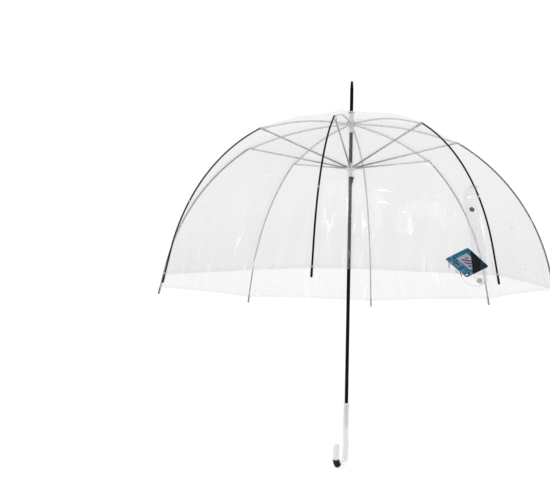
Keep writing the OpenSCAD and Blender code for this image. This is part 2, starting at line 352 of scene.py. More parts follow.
# far rods look pale in the photo and near ones black, hence the inner side painted paler: painted light
# standing in for the light that side catches
M_ROD = painted("rod_black", grey(0.001), grey(0.004), 0.4, 0.0, 120, 0.03,
                (1, 1, 0.2), specular=0.03, inside=(0.42, 0.424, 0.428))
# the tips' inner side is painted paler too: painted light
M_TIP = painted("tip_black", grey(0.003), grey(0.010), 0.45, 0.0, 400, 0.05,
                specular=0.08, inside=(0.28, 0.285, 0.29))
M_STEEL = painted("rib_grey_steel", (0.58, 0.585, 0.59), (0.70, 0.705, 0.71), 0.34, 0.3, 260, 0.03,
                  (0.5, 0.5, 0.5), wear=grey(0.48))
# inner: painted shade on the stretchers near the runner
M_STRETCH = painted("stretcher_steel", (0.42, 0.423, 0.427), (0.54, 0.544, 0.548), 0.36, 0.3, 260, 0.03,
                    (0.5, 0.5, 0.5), wear=grey(0.3), inner=0.24)
M_WIRE = painted("wire_bright", (0.42, 0.42, 0.43), (0.6, 0.6, 0.61), 0.25, 0.9, 500, 0.02)
M_WHITE = painted("hub_grey_plastic", (0.60, 0.61, 0.615), (0.72, 0.73, 0.735), 0.38, 0.0, 220, 0.04)
M_STUD = painted("snap_gunmetal", (0.05, 0.05, 0.055), (0.14, 0.14, 0.15), 0.3, 0.9, 600, 0.04,
                 wear=grey(0.4))
M_SOCKET = painted("snap_nickel", (0.3, 0.3, 0.31), (0.5, 0.5, 0.51), 0.28, 0.9, 600, 0.04)


def clear_film(name, clear, blur, milk, hem_share, streaks):
    """Clear film: a slightly grey see-through layer with a thin milky veil, fold creases that
    catch light, soft ripples and a welded hem."""
    n = Nodes(name)
    uv = n.add("Attribute", attribute_name="film_uv").outputs["Vector"]
    near_rib = n.add("Attribute", attribute_name="film_rib").outputs["Fac"]
    hem = n.add("Attribute", attribute_name="film_hem").outputs["Fac"]

    def mapped(scale):
        mp = n.add("Mapping")
        mp.inputs["Scale"].default_value = scale
        n.link(uv, mp.inputs["Vector"])
        return mp.outputs[0]

    cloud = n.noise(mapped((5, 4, 1)), 1.0, 4.0, 0.6)
    # short creases left by the folding, in patches: level ones, and upright ones near the hem
    level = n.ramp(n.noise(mapped((20, 210, 1)), 1.0, 2.0, 0.45, 0.8), 0.60, 0.72, kind="SMOOTHSTEP")
    level = n.math("MULTIPLY", level, n.ramp(n.noise(mapped((8, 6, 1)), 1.0, 2.0, 0.5), 0.52, 0.64))
    upright = n.ramp(n.noise(mapped((90, 12, 1)), 1.0, 2.0, 0.45, 0.6), 0.57, 0.71, kind="SMOOTHSTEP")
    patches = n.ramp(n.noise(mapped((7, 1, 1)), 1.0, 1.0, 0.5), 0.42, 0.56)
    upright = n.math("MULTIPLY", upright, n.math("MULTIPLY", n.ramp(hem, 0.72, 0.9), patches))
    catch = n.math("MULTIPLY", n.math("MAXIMUM", level, upright), streaks)
    ripple = n.noise(mapped((60, 5, 1)), 1.0, 2.0, 0.5, 0.3)
    ripple = n.math("MULTIPLY", ripple, n.ramp(hem, 0.2, 1.0, 0.15, 1.0))
    fine = n.noise(mapped((420, 420, 1)), 1.0, 2.0, 0.5)
    height = n.math("ADD", catch, n.math("MULTIPLY", ripple, 0.8))
    height = n.math("ADD", height, n.math("MULTIPLY", fine, 0.02))
    normal = n.bump(height, 0.0011, 1.0)

    facing = n.add("LayerWeight")
    facing.inputs["Blend"].default_value = 0.5
    edge = facing.outputs["Facing"]
    off_rib = n.ramp(near_rib, 0.0022, 0.0075, 0.0, 1.0, "SMOOTHSTEP")
    weld = n.ramp(hem, 0.985, 0.99)
    rough = n.math("ADD", n.ramp(cloud, 0.3, 0.7, 0.06, 0.14), n.math("MULTIPLY", catch, 0.1))

    # what comes through: greyer in thick and folded places, towards the hem and along its weld,
    # lighter where the film is seen at a slant
    tint = n.math("SUBTRACT", clear, n.ramp(cloud, 0.3, 0.72, 0.0, 0.022))
    tint = n.math("SUBTRACT", tint, n.math("MULTIPLY", n.ramp(ripple, 0.38, 0.7), 0.03))
    tint = n.math("SUBTRACT", tint, n.math("MULTIPLY", weld, hem_share))
    tint = n.math("SUBTRACT", tint, n.ramp(hem, 0.80, 0.89, 0.0, 0.011, "SMOOTHSTEP"))
    slant = n.math("MULTIPLY", n.math("POWER", edge, 2.0), 0.035)
    tint = n.math("MINIMUM", n.math("ADD", tint, slant), 0.985)
    neutral = n.add("CombineColor")
    for channel in range(3):
        n.link(tint, neutral.inputs[channel])
    straight = n.add("BsdfTransparent")
    n.link(neutral.outputs[0], straight.inputs[0])
    # a wide haze with a small share, so that lines behind the film stay crisp
    haze = n.add("BsdfRefraction")
    haze.inputs["IOR"].default_value = 1.014
    haze.inputs["Roughness"].default_value = 0.85
    n.link(neutral.outputs[0], haze.inputs["Color"])
    through = n.add("MixShader")
    share = n.math("MULTIPLY", n.ramp(edge, 0.45, 0.8, 1.0, 0.0, "SMOOTHSTEP"), blur)
    n.link(share, through.inputs[0])
    n.link(straight.outputs[0], through.inputs[1])
    n.link(haze.outputs[0], through.inputs[2])

    veil = n.principled(Base_Color=rgb(0.78, 0.79, 0.80), Roughness=rough, Normal=normal)
    veil.inputs["Specular IOR Level"].default_value = 0.2
    milky = n.ramp(cloud, 0.3, 0.7, milk * 0.7, milk * 1.3)
    milky = n.math("MULTIPLY", n.math("ADD", milky, n.math("MULTIPLY", weld, milk)), off_rib)
    body = n.add("MixShader")
    n.link(milky, body.inputs[0])
    n.link(through.outputs[0], body.inputs[1])
    n.link(veil.outputs[0], body.inputs[2])
    mirror = n.add("BsdfGlossy")
    n.link(rough, mirror.inputs["Roughness"])
    n.link(normal, mirror.inputs["Normal"])
    mirror.inputs["Color"].default_value = rgb(0.97, 0.98, 1.0)
    shine = n.math("MULTIPLY_ADD", n.math("POWER", edge, 6.0), 0.08, 0.009)
    shine = n.math("MULTIPLY", n.math("ADD", shine, n.math("MULTIPLY", catch, 0.6)), off_rib, clamp=True)
    top = n.add("MixShader")
    n.link(shine, top.inputs[0])
    n.link(body.outputs[0], top.inputs[1])
    n.link(mirror.outputs[0], top.inputs[2])
    return n.done(top.outputs[0])


M_FILM = clear_film("clear_film", 0.916, 0.3, 0.012, 0.03, 1.0)
M_STRAP = clear_film("strap_film", 0.975, 0.2, 0.02, 0.07, 0.7)


def clear_plastic(name, tone, rough, ior, grain, bump_mm, transmission=1.0):
    n = Nodes(name)
    swirl = n.noise(n.coords((1, 1, 0.25)), grain, 3.0, 0.5, 0.8)
    fine = n.noise(n.coords((1, 1, 1)), grain * 14, 2.0, 0.5)
    colour = n.mix(n.ramp(swirl, 0.3, 0.7), rgb(*[c * 0.965 for c in tone]), rgb(*tone))
    r = n.ramp(swirl, 0.3, 0.7, rough * 0.75, rough * 1.25)
    height = n.math("ADD", swirl, n.math("MULTIPLY", fine, 0.2))
    p = n.principled(Base_Color=colour, Roughness=r, Normal=n.bump(height, bump_mm / 1000, 0.5))
    p.inputs["IOR"].default_value = ior
    p.inputs["Transmission Weight"].default_value = transmission
    return n.done(p.outputs[0])


M_HANDLE = clear_plastic("handle_clear_acrylic", (0.80, 0.812, 0.815), 0.42, 1.4, 40, 0.15, 0.45)
M_CLIP = clear_plastic("clip_clear", (0.9, 0.91, 0.92), 0.3, 1.45, 200, 0.05, 0.6)
M_LOOP = clear_plastic("loop_clear_nylon", (0.62, 0.625, 0.63), 0.3, 1.45, 300, 0.03, 0.2)


def label_material():
    n = Nodes("label_black_gloss")
    uv = n.add("Attribute", attribute_name="piece_uv").outputs["Vector"]
    sep = n.add("SeparateXYZ")
    n.link(uv, sep.inputs[0])
    du = n.math("ABSOLUTE", n.math("SUBTRACT", sep.outputs[0], 0.5))
    dv = n.math("ABSOLUTE", n.math("SUBTRACT", sep.outputs[1], 0.5))
    out = n.math("MAXIMUM", du, dv)
    rim = n.math("MULTIPLY", n.ramp(out, 0.41, 0.415), n.ramp(out, 0.44, 0.435))
    drift = n.noise(n.coords(), 300, 3.0)
    base = n.mix(drift, rgb(0.004, 0.004, 0.005), rgb(0.012, 0.012, 0.013))
    colour = n.mix(n.math("MULTIPLY", rim, 0.75), base, rgb(0.35, 0.35, 0.36))
    rough = n.ramp(drift, 0.3, 0.7, 0.16, 0.3)
    p = n.principled(Base_Color=colour, Roughness=rough, Normal=n.bump(drift, 0.00003, 0.5))
    p.inputs["Specular IOR Level"].default_value = 0.1
    return n.done(p.outputs[0])


M_LABEL = label_material()


def card_material():
    """Printed card: teal ground, dark flap, blank pale panel with plain bars."""
    n = Nodes("tag_card")
    uv = n.add("Attribute", attribute_name="piece_uv").outputs["Vector"]
    sep = n.add("SeparateXYZ")
    n.link(uv, sep.inputs[0])
    x, y = sep.outputs[0], sep.outputs[1]  # millimetres across (to the right) and down the card
    drift = n.noise(uv, 0.22, 4.0, 0.65)
    blot = n.noise(uv, 0.11, 3.0, 0.6, 1.2)
    fibre = n.noise(uv, 6.0, 3.0, 0.6)
    teal = n.mix(n.ramp(drift, 0.35, 0.65), rgb(0.006, 0.055, 0.10), rgb(0.018, 0.17, 0.25))
    teal = n.mix(n.ramp(blot, 0.52, 0.62), teal, rgb(0.008, 0.02, 0.045))
    dark = n.mix(n.ramp(drift, 0.3, 0.7), rgb(0.002, 0.004, 0.008), rgb(0.009, 0.008, 0.014))
    # slanted axes that run with the card's sides
    a = n.math("ADD", n.math("MULTIPLY", x, 0.56), n.math("MULTIPLY", y, 0.83))
    b = n.math("SUBTRACT", n.math("MULTIPLY", x, 0.56), n.math("MULTIPLY", y, 0.83))

    def box(lo_a, hi_a, lo_b, hi_b, e=0.5):
        f = n.math("MULTIPLY", n.ramp(a, lo_a - e, lo_a + e), n.ramp(a, hi_a + e, hi_a - e))
        g = n.math("MULTIPLY", n.ramp(b, lo_b - e, lo_b + e), n.ramp(b, hi_b + e, hi_b - e))
        return n.math("MULTIPLY", f, g)

    border = n.math("SUBTRACT", 1.0, box(-20.0, 20.0, -20.0, 20.0))
    colour = n.mix(n.math("MULTIPLY", border, 0.6), teal, rgb(0.03, 0.16, 0.20))
    smears = n.ramp(n.noise(uv, 0.17, 1.0, 0.4, 0.6), 0.52, 0.62)
    low = n.math("MULTIPLY", n.ramp(b, -8.0, -10.0), smears)
    colour = n.mix(n.math("MULTIPLY", low, 0.6), colour, rgb(0.25, 0.27, 0.36))
    panel = box(-14.5, 13.0, -7.5, 13.0, 1.0)
    colour = n.mix(n.math("MULTIPLY", panel, 0.92), colour, rgb(0.33, 0.31, 0.40))
    wave = n.math("SINE", n.math("MULTIPLY", y, 1.35))
    bars = n.math("MULTIPLY", box(-9.0, 11.0, -4.0, 7.5), n.ramp(wave, -0.25, 0.05))
    colour = n.mix(n.math("MULTIPLY", bars, 0.92), colour, rgb(0.035, 0.022, 0.03))
    flap = n.ramp(n.math("SUBTRACT", x, n.math("MULTIPLY", y, 0.156)), 7.9, 8.3)
    stripes = n.math("MULTIPLY", n.ramp(x, 20.0, 18.0), n.ramp(wave, -0.2, 0.2))
    dark = n.mix(n.math("MULTIPLY", stripes, 0.5), dark, rgb(0.018, 0.011, 0.014))
    glint = n.math("MULTIPLY", n.ramp(x, 22.0, 26.0), n.ramp(drift, 0.46, 0.6))
    dark = n.mix(n.math("MULTIPLY", glint, 0.6), dark, rgb(0.02, 0.10, 0.16))
    colour = n.mix(flap, colour, dark)
    rough = n.ramp(drift, 0.3, 0.7, 0.22, 0.38)
    p = n.principled(Base_Color=colour, Roughness=rough, Normal=n.bump(fibre, 0.00004, 0.5))
    p.inputs["Specular IOR Level"].default_value = 0.08
    return n.done(p.outputs[0])


M_CARD = card_material()

# ---------------------------------------------------------------- skeleton for pieces over several bodies
PARTS = ("channel", "upper", "lower")
SPANS = [ROOT] + [f"rib_{i}_{part}_body" for i in range(1, RIBS + 1) for part in PARTS]
MIN_SHARE = 1e-4


def make_skeleton():
    data = bpy.data.armatures.new("fold_skeleton")
    ob = bpy.data.objects.new("fold_skeleton", data)
    bpy.context.scene.collection.objects.link(ob)
    bpy.context.view_layer.objects.active = ob
    ob.select_set(True)
    bpy.ops.object.mode_set(mode="EDIT")
    for body in SPANS:
        bone = data.edit_bones.new(body)
        bone.head, bone.tail, bone.roll = (0, 0, 0), (0, 0.05, 0), 0
    bpy.ops.object.mode_set(mode="OBJECT")
    for body in SPANS:
        c = ob.pose.bones[body].constraints.new("COPY_TRANSFORMS")
        c.target = frame["bodies"][body]
    ob.select_set(False)
    return ob


skeleton = make_skeleton()
BLEND = 0.045  # half the length over which a rod bends about its middle hinge


def rib_weights(s, crown_r=None):
    """Shares of the root, channel, upper and lower bodies at a place along a rib.
    crown_r is the distance from the axis inside the knee."""
    if crown_r is not None:
        w = smooth((crown_r - 0.008) / 0.026)
        return {"root": 1 - w, "channel": w}
    k = smooth((s + 0.012) / 0.024)
    m = smooth((s - S_MID + BLEND) / (2 * BLEND))
    return {"channel": 1 - k, "upper": k * (1 - m), "lower": k * m}


PLEAT = 0.12  # share of the film's middle that stays with the root body


def gore_weights(i, t, s, crown_r=None):
    """Shares of the bodies at t from 0, on rib i, to 1, on the next rib."""
    t = min(1.0, max(0.0, t))
    parts = rib_weights(s, crown_r)
    near_crown = smooth((crown_r - 0.03) / 0.2) if crown_r is not None else 1.0
    slack = PLEAT * (4 * t * (1 - t)) ** 1.5 * near_crown
    out = {ROOT: parts.get("root", 0.0) * (1 - slack) + slack}
    for share, rib in ((1 - t, i), (t, i % RIBS + 1)):
        for part in PARTS:
            w = parts.get(part, 0.0) * share * (1 - slack)
            if w > MIN_SHARE:
                out[f"rib_{rib}_{part}_body"] = w
    return out


def follow_fold(ob, weights):
    """ob rides the root body, and its vertices follow the bodies with the given shares."""
    groups = {}
    for v, shares in enumerate(weights):
        for body, w in shares.items():
            if w > MIN_SHARE:
                g = groups.get(body) or groups.setdefault(body, ob.vertex_groups.new(name=body))
                g.add([v], w, "REPLACE")
    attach(ob, ROOT)
    m = ob.modifiers.new("fold", "ARMATURE")
    m.object = skeleton
    m.use_vertex_groups = True
    m.use_bone_envelopes = False


# ---------------------------------------------------------------- canopy: one continuous welded film
COLS = 26
CROWN_ROWS = 18
SIDE_ROWS = 74
SAG = 0.0042  # how far the film hangs in between two ribs
WAVE = 0.0022
RIPPLE = 0.0016
CREASE = 0.0007
HEM_LIFT = 0.0025  # how far the hem rises between two ribs
HEM_ROWS = 8


def soft_noise(u, v, seed):
    return noise.noise(Vector((u, v, seed)))


def make_canopy():
    rows = []  # (r, z, s, crown_r, distance down the film)
    knee_film = rod_rz(0.0, LIFT)
    run = np.hypot(*(knee_film - CROWN))
    for k in range(CROWN_ROWS):
        f = (k / CROWN_ROWS) ** 1.15
        p = CROWN + f * (knee_film - CROWN)
        p = p + ARM_UP * arm_bow(float(np.dot(p - PIVOT, ARM_DIR)))
        rows.append((p, -run * (1 - f), p[0] if p[0] < KNEE[0] - 0.03 else None, run * f))
    for k in range(SIDE_ROWS + 1):
        s = HEM * k / SIDE_ROWS
        rows.append((rod_rz(s, LIFT), s, None, run + s))
    total = run + HEM
    # the film's normal in the rib plane, by differences along the rows
    normals = []
    for k in range(len(rows)):
        a, b = rows[max(0, k - 1)][0], rows[min(len(rows) - 1, k + 1)][0]
        d = (b - a) / np.hypot(*(b - a))
        normals.append(np.array((-d[1], d[0])))
    verts, uv, rib, hem, weights = [], [], [], [], []
    n_cols = RIBS * COLS
    for k, (p, s, crown_r, down) in enumerate(rows):
        q = normals[k]
        pull = smooth(p[0] / 0.2)
        low = smooth((s - 0.12) / 0.26) if s > 0 else 0.0
        for c in range(n_cols):
            i, t = c // COLS + 1, (c % COLS) / COLS
            az0, az1 = rib_azimuth(i), rib_azimuth(i) + 2 * HALF
            base = at_azimuth(p, az0).lerp(at_azimuth(p, az1), t)
            mid = az0 + HALF
            out = Vector((q[0] * math.cos(mid), q[0] * math.sin(mid), q[1]))
            free = 4 * t * (1 - t)
            width = 2 * p[0] * math.sin(HALF)
            u, v = c % COLS / COLS * width + i * 0.7, down
            sag = -SAG * pull * free
            if s > 0:
                folds = math.sin(t * math.pi * (3 if i % 2 else 4) + i)
                sag += 0.0021 * free * low * folds * soft_noise(u * 9, v * 2.5, 3.0 + i)
            wave = WAVE * free * pull * soft_noise(u * 11, v * 8, 1.3 * i)
            ripple = RIPPLE * min(1.0, free * 2.2) * low * soft_noise(u * 46, v * 4, 7.0 + i)
            crease = CREASE * min(1.0, free * 2) * pull * soft_noise(u * 13, v * 95, 20.0 + i)
            pt = base + out * (sag + wave + ripple + crease)
            if k > len(rows) - HEM_ROWS:
                pt.z += HEM_LIFT * free * smooth((k - len(rows) + HEM_ROWS) / (HEM_ROWS - 1))
            verts.append(pt)
            uv.append((u, v, 0))
            rib.append(min(t, 1 - t) * width)
            hem.append(down / total if s < HEM - 0.003 else 1.0)
            weights.append(gore_weights(i, t, s, crown_r))
    faces = []
    for k in range(len(rows) - 1):
        for c in range(n_cols):
            a, b = k * n_cols + c, k * n_cols + (c + 1) % n_cols
            faces.append((a, a + n_cols, b + n_cols, b))
    ob = new_object("canopy_film", verts, faces, M_FILM)
    vector_attribute(ob, "film_uv", uv)
    float_attribute(ob, "film_rib", rib)
    float_attribute(ob, "film_hem", hem)
    follow_fold(ob, weights)
    return ob


canopy = make_canopy()
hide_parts(*[f"gore_{i}" for i in range(1, RIBS + 1)])


# ---------------------------------------------------------------- upper ribs, bowed by the film's pull
def make_channel(i):
    """The CAD's straight steel channel, cut across and bent up between the notch and the knee."""
    az = rib_azimuth(i)
    start, along, up = (at_azimuth(p, az) for p in (PIVOT, ARM_DIR, ARM_UP))
    node = frame["nodes"][f"rib_{i}_channel"]
    bm = bmesh.new()
    bm.from_mesh(node.data)
    bm.transform(node.matrix_world)
    cuts = 28
    for k in range(1, cuts):
        bmesh.ops.bisect_plane(bm, geom=bm.verts[:] + bm.edges[:] + bm.faces[:],
                               plane_co=start + along * ARM_L * k / cuts, plane_no=along)
    bm.verts.index_update()
    verts = [v.co + up * arm_bow((v.co - start).dot(along)) for v in bm.verts]
    faces = [[v.index for v in f.verts] for f in bm.faces]
    bm.free()
    ob = new_object(f"rib_{i}_steel", verts, faces, M_STEEL, smooth_faces=False)
    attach(ob, f"rib_{i}_channel_body")
    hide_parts(f"rib_{i}_channel")


for i in range(1, RIBS + 1):
    make_channel(i)


# ---------------------------------------------------------------- bowed rods, tips and film ties
def make_rod(i):
    az = rib_azimuth(i)
    # the flattened end in the knee
    stations = [(-0.0016, 0.0005, 0.0006), (-0.0013, 0.0008, 0.0012), (-0.0006, 0.00092, 0.0015),
                (0.0025, 0.00092, 0.0015), (0.0045, 0.0012, 0.0016)]
    end = ROD_L - TIP_L + 0.001
    n = 90
    stations += [(0.007 + (end - 0.007) * k / n, ROD_R, ROD_R) for k in range(n + 1)]
    verts, faces = along_rib(az, stations, 16)
    ob = new_object(f"rib_{i}_rod", verts, faces, M_ROD)
    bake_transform(ob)
    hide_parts(f"rib_{i}_rod_upper", f"rib_{i}_rod_lower")

    s0 = ROD_L - TIP_L
    dome = TIP_R * 1.25
    profile = [(0.0, ROD_R + 0.00012), (0.0004, TIP_R - 0.00008), (0.001, TIP_R), (0.004, TIP_R),
               (0.0046, TIP_R - 0.0003), (0.0054, TIP_R - 0.0003), (0.006, TIP_R)]
    cap = [(s0 + along, r, r) for along, r in profile]
    cap.append((s0 + TIP_L - dome, TIP_R, TIP_R))
    for k in range(1, 8):
        a = math.pi / 2 * k / 8
        cap.append((s0 + TIP_L - dome + dome * math.sin(a), TIP_R * math.cos(a), TIP_R * math.cos(a)))
    verts, faces = along_rib(az, cap, 22)
    tip = new_object(f"rib_{i}_tip", verts, faces, M_TIP)
    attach(tip, f"rib_{i}_lower_body")

    # clear clip that holds the film's hem to the tip, and the tie at mid-length
    clips = ((f"rib_{i}_hem_clip", HEM - 0.0055, 0.0026), (f"rib_{i}_tie", S_MID + 0.050, 0.0022))
    for name, s, r in clips:
        end_r, edge_r = ROD_R + 0.00005, r - 0.0002
        outer = [(s, end_r, end_r), (s + 0.0002, edge_r, edge_r), (s + 0.0006, r, r),
                 (s + CLIP_L - 0.0006, r, r), (s + CLIP_L - 0.0002, edge_r, edge_r),
                 (s + CLIP_L, end_r, end_r)]
        verts, faces = along_rib(az, outer, 22)
        clip = new_object(name, verts, faces, M_CLIP)
        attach(clip, f"rib_{i}_lower_body")


for i in range(1, RIBS + 1):
    make_rod(i)


# ---------------------------------------------------------------- strap, snaps, tag and loop
GORE_AZ = rib_azimuth(1) + HALF


def gore_frame(s, lift=STRAP_LIFT):
    """Point on the first gore's middle line, and its outward and downward directions."""
    p, q = rod_rz(s, lift), rod_rz(s + 0.001, lift)
    p = np.array((p[0] * math.cos(HALF), p[1]))
    q = np.array((q[0] * math.cos(HALF), q[1]))
    d = (q - p) / np.hypot(*(q - p))
    down = Vector((d[0] * math.cos(GORE_AZ), d[0] * math.sin(GORE_AZ), d[1]))
    out = Vector((-d[1] * math.cos(GORE_AZ), -d[1] * math.sin(GORE_AZ), d[0]))
    return at_azimuth(p, GORE_AZ), out, down


ACROSS = Vector((-math.sin(GORE_AZ), math.cos(GORE_AZ), 0))


def on_gore(s, y, lift=STRAP_LIFT):
    p, out, down = gore_frame(s, lift)
    return p + ACROSS * y


def gore_t(s, y):
    return 0.5 + y / (2 * rod_rz(s, LIFT)[0] * math.sin(HALF))


def shares_on_gore(s, y):
    return gore_weights(1, gore_t(s, y), s)


STRAP_Y, STRAP_W = 0.129, 0.024
STRAP_FROM, STRAP_TO = 0.205, 0.396


def make_strap():
    """A narrow strip of film welded over the second rib; its free end hangs past the hem."""
    rows, cols, t = 60, 8, 0.0005
    verts, uv, rib, hem, weights = [], [], [], [], []
    for side in (0, 1):
        for k in range(rows + 1):
            f = k / rows
            s = STRAP_FROM + (STRAP_TO - STRAP_FROM) * f
            root = 1 - smooth((s - STRAP_FROM) / 0.020)
            half = STRAP_W / 2 * (1 - 0.25 * root)
            tail = (STRAP_TO - s) / 0.012
            if tail < 1:
                half *= math.sqrt(max(0.04, 1 - (1 - max(0.0, tail)) ** 2))
            top = (s - STRAP_FROM) / 0.006
            if top < 1:
                half *= math.sqrt(max(0.08, 1 - (1 - top) ** 2))
            y0 = STRAP_Y + 0.011 * root ** 1.5 - 0.004 * math.sin(math.pi * min(1.0, f * 1.6))
            for c in range(cols + 1):
                y = y0 + half * (2 * c / cols - 1)
                wave = 0.5 + 0.5 * math.sin(f * 19 + 0.7 * math.sin(c))
                puff = 0.0004 + 0.0011 * (1 - root) * wave * (1 - abs(2 * c / cols - 1) ** 2 * 0.4)
                verts.append(on_gore(s, y, STRAP_LIFT + puff + (t if side else 0)))
                uv.append((y + 9.0, s, 0))
                rib.append(0.02)
                hem.append(0.99 if abs(2 * c / cols - 1) > 0.85 or f > 0.96 or f < 0.05 else 0.5)
                weights.append(shares_on_gore(s, y))
    faces, n, w = [], (rows + 1) * (cols + 1), cols + 1
    for k in range(rows):
        for c in range(cols):
            a = k * w + c
            faces.append((a, a + 1, a + 1 + w, a + w))
            faces.append((n + a, n + a + w, n + a + 1 + w, n + a + 1))
    for a, b in pairs_round(border_loop(rows, cols)):
        faces.append((a, n + a, n + b, b))
    ob = new_object("closing_strap_film", verts, faces, M_STRAP)
    vector_attribute(ob, "film_uv", uv)
    float_attribute(ob, "film_rib", rib)
    float_attribute(ob, "film_hem", hem)
    follow_fold(ob, weights)
    return ob


strap = make_strap()
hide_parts("closing_strap")


def turned(name, s, y, profile, material, node, lift, segs=40):
    """A turned piece standing on the strap. profile is (radius, height) pairs from the inside out."""
    p, out, down = gore_frame(s, lift)
    c = p + ACROSS * y
    verts, faces = [], []
    for r, h in profile:
        for k in range(segs):
            a = 2 * math.pi * k / segs
            verts.append(c + ACROSS * (r * math.cos(a)) + down * (r * math.sin(a)) + out * h)
    for j in range(len(profile) - 1):
        for k in range(segs):
            a, b = j * segs + k, j * segs + (k + 1) % segs
            faces.append((a, a + segs, b + segs, b))
    for j, flip in ((0, False), (len(profile) - 1, True)):
        verts.append(c + out * profile[j][1])
        m = len(verts) - 1
        for k in range(segs):
            a, b = j * segs + k, j * segs + (k + 1) % segs
            faces.append((m, b, a) if flip else (m, a, b))
    ob = new_object(name, verts, faces, material)
    follow_fold(ob, [shares_on_gore(s, y)] * len(verts))
    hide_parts(node)


def mm(*pts):
    return [(r / 1000, h / 1000) for r, h in pts]


SNAP_LIFT = STRAP_LIFT + 0.0012
STUD_PROFILE = mm((0.01, 2.25), (1.2, 2.25), (1.8, 2.1), (2.05, 1.7), (1.85, 1.35), (1.95, 1.05), (2.6, 0.9),
                  (3.2, 0.98), (4.2, 1.0), (4.6, 0.85), (4.8, 0.5), (4.75, 0.15), (0.01, 0.1))
SOCKET_PROFILE = mm((0.01, 0.6), (1.9, 0.6), (2.25, 0.75), (2.35, 1.35), (2.6, 1.6), (3.2, 1.6),
                    (3.7, 1.35), (3.95, 0.95), (4.15, 0.75), (4.2, 0.3), (4.1, 0.05), (0.01, 0.0))
turned("snap_stud_cap", STRAP_FROM + 0.054, STRAP_Y - 0.004, STUD_PROFILE, M_STUD,
       "snap_stud", SNAP_LIFT)
turned("snap_socket_ring", STRAP_TO - 0.006, STRAP_Y - 0.003, SOCKET_PROFILE, M_SOCKET,
       "snap_socket", SNAP_LIFT)

TAG_S, TAG_Y, TAG_SIDE = 0.3592, 0.1054, 0.048
TAG_LEAN, TAG_TURN = math.radians(34.7), math.radians(7.2)
TAG_LIFT = STRAP_LIFT + 0.0021
CARD_T = 0.0005
EYE_R, EYE_REACH = 0.0009, 0.0045  # the grid is spread away from the eyelet within this reach


def make_tag():
    """Square card hung by a corner, thin, a little bowed, with rounded corners and an eyelet."""
    long_half, short_half = TAG_SIDE * math.cos(TAG_LEAN), TAG_SIDE * math.sin(TAG_LEAN)
    p, out, down = gore_frame(TAG_S, TAG_LIFT)
    c = p + ACROSS * TAG_Y
    n = 24
    # (down, across) before the card is turned
    corners = [(-short_half, 0.0), (0.0, long_half), (short_half, 0.0), (0.0, -long_half)]
    hole_cell = 21  # the grid cell on the card's diagonal that is left out
    eye = (short_half * (2 * (hole_cell + 0.5) / n - 1), 0.0)
    turned_down = down * math.cos(TAG_TURN) - ACROSS * math.sin(TAG_TURN)
    turned_across = down * math.sin(TAG_TURN) + ACROSS * math.cos(TAG_TURN)
    verts, uv = [], []
    for side in (0, 1):
        for a in range(n + 1):
            for b in range(n + 1):
                fa, fb = a / n, b / n
                shares = ((1 - fa) * (1 - fb), fa * (1 - fb), fa * fb, (1 - fa) * fb)
                d = [sum(w * corner[j] for w, corner in zip(shares, corners)) for j in (0, 1)]
                # pull the very corners in a little
                e = max(abs(2 * fa - 1), 0) * max(abs(2 * fb - 1), 0)
                k = 1 - 0.035 * smooth((e - 0.86) / 0.14)
                x, y = d[0] * k, d[1] * k
                # spread the grid away from the eyelet
                ex, ey = x - eye[0], y - eye[1]
                r = math.hypot(ex, ey)
                if 1e-9 < r < EYE_REACH:
                    f = (EYE_R + r * (EYE_REACH - EYE_R) / EYE_REACH) / r
                    x, y = eye[0] + ex * f, eye[1] + ey * f
                bow = 0.0012 * (1 - (y / long_half) ** 2) + 0.0006 * math.sin(x * 90)
                off = bow + (CARD_T if side else 0)
                verts.append(c + turned_down * x + turned_across * y + out * off)
                uv.append((y * 1000, x * 1000, 0))
    w, half = n + 1, (n + 1) ** 2
    faces = []
    for a in range(n):
        for b in range(n):
            v = a * w + b
            if a == b == hole_cell:
                rim = (v, v + 1, v + 1 + w, v + w)
                faces += [(q, start, half + start, half + q) for start, q in pairs_round(rim)]
                continue
            faces.append((v, v + w, v + 1 + w, v + 1))
            faces.append((half + v, half + v + 1, half + v + 1 + w, half + v + w))
    for a, b in pairs_round(border_loop(n, n)):
        faces.append((a, b, half + b, half + a))
    ob = new_object("tag_card_piece", verts, faces, M_CARD, smooth_faces=False)
    vector_attribute(ob, "piece_uv", uv)
    follow_fold(ob, [shares_on_gore(TAG_S, TAG_Y)] * len(verts))
    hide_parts("swing_tag")


make_tag()


def make_loop():
    """Thin moulded loop: from a dark pin at the tag's lower edge, round under the strap's socket
    and back to the tag."""
    p, out, down = gore_frame(TAG_S, TAG_LIFT + 0.00175)
    c = p + ACROSS * TAG_Y
    big_r, small_r, wire_r = 0.026, 0.005, 0.00045
    begin, meet, leave = math.radians(-84), math.radians(34), math.radians(170)
    big_c = np.array((0.0155, 0.0122))  # (down, across) from the tag's middle
    small_c = big_c + (big_r - small_r) * np.array((math.cos(meet), math.sin(meet)))

    def on_circle(centre, r, a):
        return centre + r * np.array((math.cos(a), math.sin(a)))

    track = [on_circle(big_c, big_r, begin + (meet - begin) * k / 60) for k in range(61)]
    track += [on_circle(small_c, small_r, meet + (leave - meet) * k / 16) for k in range(1, 17)]
    end = np.array((0.0243, 0.0015))
    track += [track[-1] + (end - track[-1]) * k / 12 for k in range(1, 13)]
    rings = []
    for k, point in enumerate(track):
        step = track[min(k + 1, len(track) - 1)] - track[max(k - 1, 0)]
        lift = 0.0003 * math.sin(k * 0.16)
        radial = (down * step[1] - ACROSS * step[0]).normalized()
        centre = c + down * point[0] + ACROSS * point[1] + out * lift
        rings.append((centre, radial, out, wire_r, wire_r))
    pin_rings = [(q, u, v, 0.0008, 0.0006) for q, u, v, _, _ in rings[:9]]
    for name, part, material in (("tag_loop_piece", rings, M_LOOP), ("tag_loop_pin", pin_rings, M_CATCH)):
        verts, faces = sweep(part, 14)
        ob = new_object(name, verts, faces, material)
        follow_fold(ob, [shares_on_gore(TAG_S, TAG_Y)] * len(verts))
        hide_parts("tag_loop")


make_loop()

